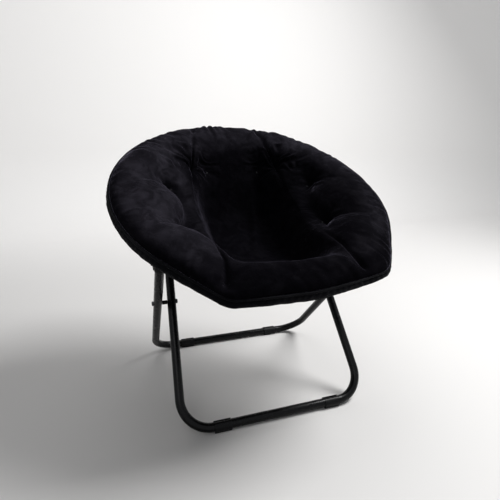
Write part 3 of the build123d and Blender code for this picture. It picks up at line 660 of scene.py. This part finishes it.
def piping():
    """A thin round edging in the seam between sleeve and cushion, rippled by its stitches."""
    t = turns_of_grid(PIPING_TURNS, PIPING_AROUND)
    a = np.linspace(0, 2 * math.pi, PIPING_AROUND + 1)[None, :-1] + 0 * t
    wander = 0.0007 * lumps(np.stack([np.cos(t), np.sin(t), 0 * a], -1), size=0.08, seed=31)
    centre_r = RING_RADIUS + PIPING_PATH_R * math.cos(PIPING_PLACE) + rim_reach(t) * PIPING_CORNERS + wander
    centre_n = PIPING_PATH_R * math.sin(PIPING_PLACE) + wander
    radius = PIPING_R + PIPING_RIPPLE_HEIGHT * np.sin(PIPING_RIPPLES * t)
    verts = round_grid(t, centre_r + radius * np.cos(a), centre_n + radius * np.sin(a)).reshape(-1, 3)
    faces = []
    for i, k in product(range(PIPING_TURNS), range(PIPING_AROUND)):
        here, there = i * PIPING_AROUND, (i + 1) % PIPING_TURNS * PIPING_AROUND
        m = (k + 1) % PIPING_AROUND
        faces.append((here + k, here + m, there + m, there + k))
    uvs = np.stack([t * RING_RADIUS, a * PIPING_R], -1).reshape(-1, 2)
    return made_mesh("rim_piping", verts, faces, uvs)


def base_cloth():
    """The sling of sewn panels under the cushion."""
    line = curve_through(BASE_LINE, BASE_ROWS)
    turns = turns_of_grid(BASE_TURNS, BASE_ROWS)
    r, n = line[:, 0] + 0 * turns, line[:, 1] + 0 * turns
    n = over_leg_tops(turns, r, over_folded_legs(turns, r, n, BASE_GAP), BASE_TOP_GAP, BASE_TOP_REACH)
    across = np.sin(BASE_PANEL_PAIRS * turns)
    seam = bell(across * r / BASE_PANEL_PAIRS, BASE_SEAM_WIDTH) * smooth_step(0.02, 0.05, r)
    panel = np.abs(across) * smooth_step(0.03, 0.12, r) * (1 - smooth_step(0.26, 0.33, r))
    uneven = BASE_UNEVEN * lumps(round_grid(turns, r, n), size=0.05, seed=41)
    uneven = uneven * (1 - smooth_step(0.3, 0.34, r))
    n = n + BASE_SEAM_HEIGHT * seam - BASE_PANEL_SAG * panel + uneven
    steps = lengths_along(line)
    uvs = np.stack([turns * np.maximum(r, 0.05), steps + 0 * turns], -1)[:, :-1].reshape(-1, 2)
    uvs = np.concatenate([uvs, [[0, steps[-1]]]])
    middle = place(np.array([0.0]), np.array([0.0]), np.array([BASE_LINE[-1][1]]))
    verts = np.concatenate([round_grid(turns, r, n)[:, :-1].reshape(-1, 3), middle])
    columns, last = BASE_ROWS - 1, len(verts) - 1
    faces = grid_faces(BASE_TURNS, columns)
    for i in range(BASE_TURNS):
        faces.append((i * columns + columns - 1, ((i + 1) % BASE_TURNS) * columns + columns - 1, last))
    obj = made_mesh("seat_base_cloth", verts, faces, uvs)
    thicken(obj, BASE_THICKNESS, 0)
    return obj


# ---- the collars on the rear legs -------------------------------------------------------------------
REAR_TOP = Vector((0.27163, -0.15986, 0.413977))
REAR_FOOT = Vector((0.25597, 0.219187, 0.0126))
COLLAR_LINE = [  # distance below the top pivot, radius
    (0.0125, 0.0112), (0.0125, 0.0117), (0.0130, 0.0120), (0.0195, 0.0120), (0.0203, 0.0128),
    (0.0210, 0.0131), (0.0300, 0.0131), (0.0308, 0.0128), (0.0310, 0.0122), (0.0310, 0.0112),
]
SCREW_LINE = [  # distance out from the collar, radius
    (0.0, 0.0034), (0.0008, 0.0034), (0.0015, 0.0029), (0.0019, 0.0018), (0.0020, 0.0009), (0.0014, 0.0007),
]
SCREW_BELOW_TOP, SCREW_OUT = 0.0255, 0.0129
COLLAR_SIDES, SCREW_SIDES = 48, 24


def turned(build, line, start, axis, aside, third, count):
    """Turns a line of distances and radii about an axis, and gives back its last ring of points."""
    last = None
    for t, radius in line:
        angles = [2 * math.pi * k / count for k in range(count)]
        spokes = [aside * math.cos(angle) + third * math.sin(angle) for angle in angles]
        ring = [build.verts.new(start + axis * t + spoke * radius) for spoke in spokes]
        if last:
            for k in range(count):
                build.faces.new((last[k], last[(k + 1) % count], ring[(k + 1) % count], ring[k]))
        last = ring
    return last


def leg_collar(name, side):
    """A moulded collar round the leg, under the seat's sleeve, with its pan-head screw outside."""
    top, foot = (Vector((side * p.x, p.y, p.z)) for p in (REAR_TOP, REAR_FOOT))
    down = (foot - top).normalized()
    across = Vector((side, 0, 0))
    across = (across - down * across.dot(down)).normalized()
    third = down.cross(across)
    build = bmesh.new()
    turned(build, COLLAR_LINE, top, down, across, third, COLLAR_SIDES)
    screw = top + down * SCREW_BELOW_TOP + across * SCREW_OUT
    build.faces.new(turned(build, SCREW_LINE, screw, across, down, third, SCREW_SIDES))
    bmesh.ops.recalc_face_normals(build, faces=build.faces)
    return from_build(name, build)


# ---- shader nodes -----------------------------------------------------------------------------------
BLACK = (0.0, 0.0, 0.0)


def feed(socket, value):
    """Gives a socket a number, a vector or a colour, or links it to another node's output."""
    if isinstance(value, bpy.types.NodeSocket):
        socket.id_data.links.new(value, socket)
    elif isinstance(value, tuple):
        socket.default_value = (*value, 1.0)
    else:
        socket.default_value = value


def add(tree, kind, inputs=None, **settings):
    """A new shader node with these settings, its sockets fed by label or place."""
    node = tree.nodes.new("ShaderNode" + kind)
    for key, value in settings.items():
        setattr(node, key, value)
    for label, value in (inputs or {}).items():
        feed(node.inputs[label], value)
    return node


def noise(tree, vector, scale, detail=3.0, rough=0.55, spread=0.0):
    inputs = {"Vector": vector, "Scale": scale, "Detail": detail, "Roughness": rough, "Distortion": spread}
    return add(tree, "TexNoise", inputs).outputs["Fac"]


def ramp(tree, value, span, to=(0.0, 1.0)):
    """A smooth change from one number to another while the value crosses the span."""
    inputs = {"Value": value, "From Min": span[0], "From Max": span[1], "To Min": to[0], "To Max": to[1]}
    return add(tree, "MapRange", inputs, interpolation_type="SMOOTHSTEP").outputs["Result"]


def maths(tree, operation, *values, clamp=False):
    return add(tree, "Math", dict(enumerate(values)), operation=operation, use_clamp=clamp).outputs[0]


def times(tree, a, b, clamp=False):
    return maths(tree, "MULTIPLY", a, b, clamp=clamp)


def plus(tree, a, b, clamp=False):
    return maths(tree, "ADD", a, b, clamp=clamp)


def mixed(tree, factor, a, b):
    """Colour a where the factor is 0, and colour b where it is 1."""
    node = add(tree, "Mix", data_type="RGBA")
    for socket, value in zip([s for s in node.inputs if s.enabled], (factor, a, b)):
        feed(socket, value)
    return [s for s in node.outputs if s.enabled][0]


def bumped(tree, height, strength, distance, normal=None):
    inputs = {"Height": height, "Strength": strength, "Distance": distance}
    if normal is not None:
        inputs["Normal"] = normal
    return add(tree, "Bump", inputs).outputs["Normal"]


def position(tree):
    return add(tree, "TexCoord").outputs["Object"]


def node_group(name, inputs):
    """An empty shared group: its tree, what it is given, and the sockets for what it works out."""
    tree = bpy.data.node_groups.new(name, "ShaderNodeTree")
    for label, start in inputs.items():
        kind = "NodeSocketColor" if isinstance(start, tuple) else "NodeSocketFloat"
        feed(tree.interface.new_socket(label, in_out="INPUT", socket_type=kind), start)
    for label, kind in (("Colour", "Color"), ("Roughness", "Float"), ("Normal", "Vector")):
        tree.interface.new_socket(label, in_out="OUTPUT", socket_type="NodeSocket" + kind)
    return tree, tree.nodes.new("NodeGroupInput").outputs, tree.nodes.new("NodeGroupOutput").inputs


# ---- shared effects ---------------------------------------------------------------------------------
def pile_group():
    """Short-pile plush: patches where the nap runs different ways, fine pile and small crush marks, lightened
    and darkened by painted light and shade from the mesh.
    """
    tree, given, out = node_group("plush pile", {"Dark": BLACK, "Lit": BLACK, "Brush size": 22.0})
    where = position(tree)
    strokes = noise(tree, where, scale=given["Brush size"], detail=4, rough=0.6, spread=0.9)
    strokes = ramp(tree, strokes, (0.36, 0.68))
    pile = noise(tree, where, scale=1500.0, detail=2, rough=0.7)
    tufts = noise(tree, where, scale=420.0, detail=3, rough=0.65, spread=0.4)
    crush = noise(tree, where, scale=90.0, detail=3, rough=0.6, spread=1.6)
    fleck = ramp(tree, pile, (0.35, 0.75))
    stroke_share, fleck_share, least_shade = 0.50, 0.28, 0.30
    shade = plus(tree, times(tree, strokes, stroke_share), times(tree, fleck, fleck_share), clamp=True)
    # Painted light and shade stored on the mesh scale the colour between Dark and Lit.
    painted_light = add(tree, "Attribute", attribute_type="GEOMETRY", attribute_name="painted light on pile").outputs["Fac"]
    painted_light_factor = plus(tree, times(tree, painted_light, 0.9), 0.1)
    shade = times(tree, plus(tree, shade, least_shade), painted_light_factor, clamp=True)
    normal = bumped(tree, crush, strength=0.55, distance=0.0025)
    normal = bumped(tree, tufts, strength=0.45, distance=0.0010, normal=normal)
    feed(out["Normal"], bumped(tree, pile, strength=0.35, distance=0.0004, normal=normal))
    feed(out["Colour"], mixed(tree, shade, given["Dark"], given["Lit"]))
    feed(out["Roughness"], ramp(tree, strokes, (0.0, 1.0), (0.96, 0.84)))
    return tree


def weave_group():
    """Plain weave: threads over and under, with slubs, from the cloth's own metres along and across."""
    tree, given, out = node_group("plain weave", {"Dark": BLACK, "Lit": BLACK, "Threads per metre": 1600.0})
    where = position(tree)
    cloth = add(tree, "SeparateXYZ", {0: add(tree, "UVMap", uv_map="cloth").outputs["UV"]})
    pitch = times(tree, given["Threads per metre"], math.pi)
    warp, weft = (maths(tree, "SINE", times(tree, cloth.outputs[label], pitch)) for label in ("X", "Y"))
    # Painted shade: the colour is darker in the dips between the threads than on their raised tops; the
    # rubbed patches and slubs below are the cloth's own tone.
    warp_side = ramp(tree, times(tree, warp, weft), (-0.2, 0.2))
    warp_height = times(tree, times(tree, warp, warp), warp_side)
    weft_height = times(tree, times(tree, weft, weft), maths(tree, "SUBTRACT", 1.0, warp_side))
    height = plus(tree, warp_height, weft_height)
    slub = noise(tree, where, scale=160.0, detail=3, rough=0.6, spread=0.5)
    rubbed = ramp(tree, noise(tree, where, scale=14.0, detail=3, rough=0.6), (0.4, 0.7))
    height_share, rubbed_share, slub_share = 0.45, 0.45, 0.2
    shade = plus(tree, times(tree, height, height_share), times(tree, rubbed, rubbed_share), clamp=True)
    shade = plus(tree, shade, times(tree, ramp(tree, slub, (0.5, 0.8)), slub_share), clamp=True)
    feed(out["Colour"], mixed(tree, shade, given["Dark"], given["Lit"]))
    feed(out["Roughness"], ramp(tree, shade, (0.0, 1.0), (0.92, 0.76)))
    normal = bumped(tree, slub, strength=0.4, distance=0.0012)
    feed(out["Normal"], bumped(tree, height, strength=0.6, distance=0.0004, normal=normal))
    return tree


def coat_group():
    """Powder coat: fine orange peel, rubbed edges, and a little dust on what faces up."""
    inputs = {
        "Coat": BLACK, "Dust": (0.3, 0.29, 0.27), "Bare": (0.2, 0.2, 0.2),
        "Shine": 0.33, "Dustiness": 0.18, "Peel size": 700.0,
    }
    tree, given, out = node_group("powder coat", inputs)
    where = position(tree)
    shape = add(tree, "NewGeometry").outputs
    cloudy = noise(tree, where, scale=26.0, detail=5, rough=0.62, spread=0.3)
    peel = noise(tree, where, scale=given["Peel size"], detail=2, rough=0.5)
    scuff = noise(tree, where, scale=210.0, detail=4, rough=0.7, spread=1.2)
    edge = ramp(tree, shape["Pointiness"], (0.53, 0.62))
    worn = times(tree, edge, ramp(tree, scuff, (0.48, 0.66)))
    up = ramp(tree, add(tree, "SeparateXYZ", {0: shape["Normal"]}).outputs["Z"], (0.25, 1.0))
    dusty = times(tree, times(tree, up, ramp(tree, cloudy, (0.35, 0.75))), given["Dustiness"])
    coated = mixed(tree, dusty, given["Coat"], given["Dust"])
    cloudy_rough, dusty_rough = 0.13, 1.2
    rough = plus(tree, given["Shine"], times(tree, ramp(tree, cloudy, (0.3, 0.75)), cloudy_rough))
    feed(out["Colour"], mixed(tree, worn, coated, given["Bare"]))
    feed(out["Roughness"], plus(tree, rough, times(tree, dusty, dusty_rough), clamp=True))
    normal = bumped(tree, scuff, strength=0.12, distance=0.0004)
    feed(out["Normal"], bumped(tree, peel, strength=0.22, distance=0.0003, normal=normal))
    return tree


# ---- materials --------------------------------------------------------------------------------------
def shaded(name, inputs):
    """A new material whose shader has these inputs, and that shader."""
    material = bpy.data.materials.new(name)
    material.use_nodes = True
    shader = material.node_tree.nodes["Principled BSDF"]
    for label, value in inputs.items():
        feed(shader.inputs[label], value)
    return material, shader


def finish_of(name, group, group_inputs, shader_inputs):
    """A material whose shader takes its colour, roughness and normal from a shared group."""
    material, shader = shaded(name, shader_inputs)
    node = add(material.node_tree, "Group", node_tree=group)
    for label, value in group_inputs.items():
        feed(node.inputs[label], value)
    for label, result in (("Base Color", "Colour"), ("Roughness", "Roughness"), ("Normal", "Normal")):
        feed(shader.inputs[label], node.outputs[result])
    return material


pile, weave, coat = pile_group(), weave_group(), coat_group()
plush = finish_of(
    "black plush",
    pile,
    {"Dark": (0.0005, 0.0004, 0.0009), "Lit": (0.0228, 0.0210, 0.0276), "Brush size": 24.0},
    {
        "Sheen Weight": 0.30, "Sheen Roughness": 0.19, "Sheen Tint": (0.66, 0.61, 0.82),
        "Specular IOR Level": 0.01,
    },
)
rim_cloth = finish_of(
    "rim cloth",
    weave,
    {"Dark": (0.0010, 0.0010, 0.0016), "Lit": (0.0048, 0.0048, 0.0070), "Threads per metre": 1500.0},
    {"Sheen Weight": 0.06, "Sheen Roughness": 0.25, "Specular IOR Level": 0.07},
)
under_cloth = finish_of(
    "base cloth",
    weave,
    {"Dark": (0.004, 0.004, 0.005), "Lit": (0.014, 0.014, 0.017), "Threads per metre": 1100.0},
    {"Sheen Weight": 0.10, "Specular IOR Level": 0.2},
)
frame_coat = finish_of(
    "black powder coat",
    coat,
    {"Coat": (0.0020, 0.0020, 0.0025), "Shine": 0.20, "Dustiness": 0.010, "Bare": (0.02, 0.02, 0.022)},
    {"Specular IOR Level": 0.14, "Coat Weight": 0.05, "Coat Roughness": 0.12},
)
moulded = finish_of(
    "moulded black plastic",
    coat,
    {
        "Coat": (0.0024, 0.0024, 0.0028), "Bare": (0.012, 0.012, 0.013),
        "Shine": 0.36, "Dustiness": 0.015, "Peel size": 1500.0,
    },
    {"Specular IOR Level": 0.14},
)
bolt_metal = finish_of(
    "blackened zinc",
    coat,
    {
        "Coat": (0.055, 0.055, 0.060), "Bare": (0.35, 0.35, 0.36),
        "Shine": 0.32, "Dustiness": 0.05, "Peel size": 2200.0,
    },
    {"Metallic": 0.85},
)
thread = finish_of(
    "black thread",
    coat,
    {
        "Coat": (0.003, 0.003, 0.004), "Bare": (0.008, 0.008, 0.009),
        "Shine": 0.7, "Dustiness": 0.0, "Peel size": 2600.0,
    },
    {"Specular IOR Level": 0.2},
)

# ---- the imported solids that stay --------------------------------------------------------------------
by_slot = {
    "frame_black": frame_coat, "zinc": bolt_metal, "cap_plastic": moulded, "foot_plastic": moulded,
    "thread": thread,
}
slots = {part["node"]: part["material_slot"] for part in frame["record"]["subparts"]}
for name, obj in frame["nodes"].items():
    if slots[name] in by_slot:
        obj.data.materials.clear()
        obj.data.materials.append(by_slot[slots[name]])


def dressed(piece, material, slot_name, *nodes):
    """Gives a soft piece its finish, hides the solids that it stands for, and bakes its place into its
    points.
    """
    piece.data.materials.append(material)
    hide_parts(*nodes)
    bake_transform(piece)
    return piece


pad = dressed(cushion(), plush, "plush", "cushion_rear", "cushion_front", "wadding_rear", "wadding_front")
# Painted light and shade on the plush, stored on its points.
painted_light_on_pile(pad.data)
dressed(tuft_threads(pad), thread, "thread", "tuft_tacks_rear", "tuft_tacks_front")
sleeve_piece = dressed(sleeve(), rim_cloth, "rim_cloth", "sleeve_rear", "sleeve_front")
piping_piece = dressed(piping(), rim_cloth, "rim_cloth", "piping_rear", "piping_front")
base_piece = dressed(base_cloth(), under_cloth, "base_cloth", "base_cloth_rear", "base_cloth_front")

for label, side in (("left", 1), ("right", -1)):
    collar = leg_collar("leg_collar_" + label, side)
    collar.data.materials.append(moulded)
    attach(collar, "rear_legs")

# ---- floor, light and camera ------------------------------------------------------------------------
FLOOR_FRONT, FLOOR_HALF_WIDTH = -4.0, 5.0
WALL_BEND_Y, WALL_BEND_R, WALL_HEIGHT = 1.9, 0.6, 4.0
WALL_GLOW, GLOW_ALONG = 0.30, (0.5, 2.4)  # its strength, and the y between which it comes up
LIGHTS = [  # name, place, what it points at, width, watts
    ("key", (1.9, -0.1, 2.6), (0, 0, 0.4), 1.3, 105),
    ("fill", (-1.4, -2.0, 2.6), (0, 0, 0.4), 1.6, 10),
    ("top", (-0.2, 0.9, 3.0), (0, 0, 0.3), 2.0, 16),
]
ROOM_COLOUR = (0.95, 0.97, 1.0)
ROOM_LIGHT, ROOM_SEEN = 0.16, 0.60  # its strength as light, and as seen directly or in reflections
CAMERA_AT = Vector((-0.3701, -1.0163, 0.6688))
CAMERA_PITCH, CAMERA_ROLL, CAMERA_YAW = 0.2602, 0.0143, 0.3432
FOCAL_PIXELS, PHOTO_PIXELS, SENSOR_WIDTH, NEAREST_SEEN = 402.622, 500, 36.0, 0.02


def backdrop():
    """Floor that curves up into a wall, which glows a little towards the back, as the camera sees it."""
    line = [(FLOOR_FRONT, 0.0), (WALL_BEND_Y, 0.0)]
    for a in np.linspace(0.1, math.pi / 2, 12):
        line.append((WALL_BEND_Y + WALL_BEND_R * math.sin(a), WALL_BEND_R - WALL_BEND_R * math.cos(a)))
    line.append((WALL_BEND_Y + WALL_BEND_R, WALL_HEIGHT))
    verts = [(x, y, z) for y, z in line for x in (-FLOOR_HALF_WIDTH, FLOOR_HALF_WIDTH)]
    faces = [(2 * k, 2 * k + 1, 2 * k + 3, 2 * k + 2) for k in range(len(line) - 1)]
    obj = made_mesh("floor", verts, faces)
    pale_inputs = {"Base Color": (0.70, 0.69, 0.68), "Roughness": 0.6, "Emission Color": (1.0, 0.99, 0.98)}
    pale, shader = shaded("pale floor", pale_inputs)
    tree = pale.node_tree
    where = add(tree, "SeparateXYZ", {0: add(tree, "NewGeometry").outputs["Position"]})
    glow = ramp(tree, where.outputs["Y"], GLOW_ALONG, (0.0, WALL_GLOW))
    seen = add(tree, "LightPath").outputs["Is Camera Ray"]
    feed(shader.inputs["Emission Strength"], times(tree, glow, seen))
    obj.data.materials.append(pale)


def soft_light(name, place_at, look_at, width, watts):
    light = bpy.data.lights.new(name, "AREA")
    light.shape, light.size, light.energy = "SQUARE", width, watts
    obj = bpy.data.objects.new(name, light)
    obj.location = place_at
    obj.rotation_euler = (Vector(look_at) - Vector(place_at)).to_track_quat("-Z", "Y").to_euler()
    bpy.context.scene.collection.objects.link(obj)


def room():
    """Even light from all round, brighter where it is seen than as light."""
    world = bpy.data.worlds.new("room")
    world.use_nodes = True
    tree = world.node_tree
    backing = tree.nodes["Background"]
    rays = add(tree, "LightPath").outputs
    seen = maths(tree, "MAXIMUM", rays["Is Camera Ray"], rays["Is Glossy Ray"])
    feed(backing.inputs["Color"], ROOM_COLOUR)
    feed(backing.inputs["Strength"], ramp(tree, seen, (0.0, 1.0), (ROOM_LIGHT, ROOM_SEEN)))
    bpy.context.scene.world = world


def camera():
    """The photograph's camera: its place, turned by yaw, then pitched down, then rolled."""
    ahead = Vector((math.sin(CAMERA_YAW), math.cos(CAMERA_YAW), 0))
    aside = Vector((math.cos(CAMERA_YAW), -math.sin(CAMERA_YAW), 0))
    look = ahead * math.cos(CAMERA_PITCH) - Vector((0, 0, 1)) * math.sin(CAMERA_PITCH)
    rise = ahead * math.sin(CAMERA_PITCH) + Vector((0, 0, 1)) * math.cos(CAMERA_PITCH)
    right = aside * math.cos(CAMERA_ROLL) + rise * math.sin(CAMERA_ROLL)
    up = rise * math.cos(CAMERA_ROLL) - aside * math.sin(CAMERA_ROLL)
    data = bpy.data.cameras.new("camera")
    data.sensor_width = SENSOR_WIDTH
    data.lens = FOCAL_PIXELS / PHOTO_PIXELS * SENSOR_WIDTH
    data.clip_start = NEAREST_SEEN
    obj = bpy.data.objects.new("camera", data)
    rows = [[column[k] for column in (right, up, -look, CAMERA_AT)] for k in range(3)]
    obj.matrix_world = Matrix(rows + [(0, 0, 0, 1)])
    bpy.context.scene.collection.objects.link(obj)
    bpy.context.scene.camera = obj


backdrop()
for light in LIGHTS:
    soft_light(*light)
room()
bpy.context.scene.view_settings.view_transform = "Standard"
camera()
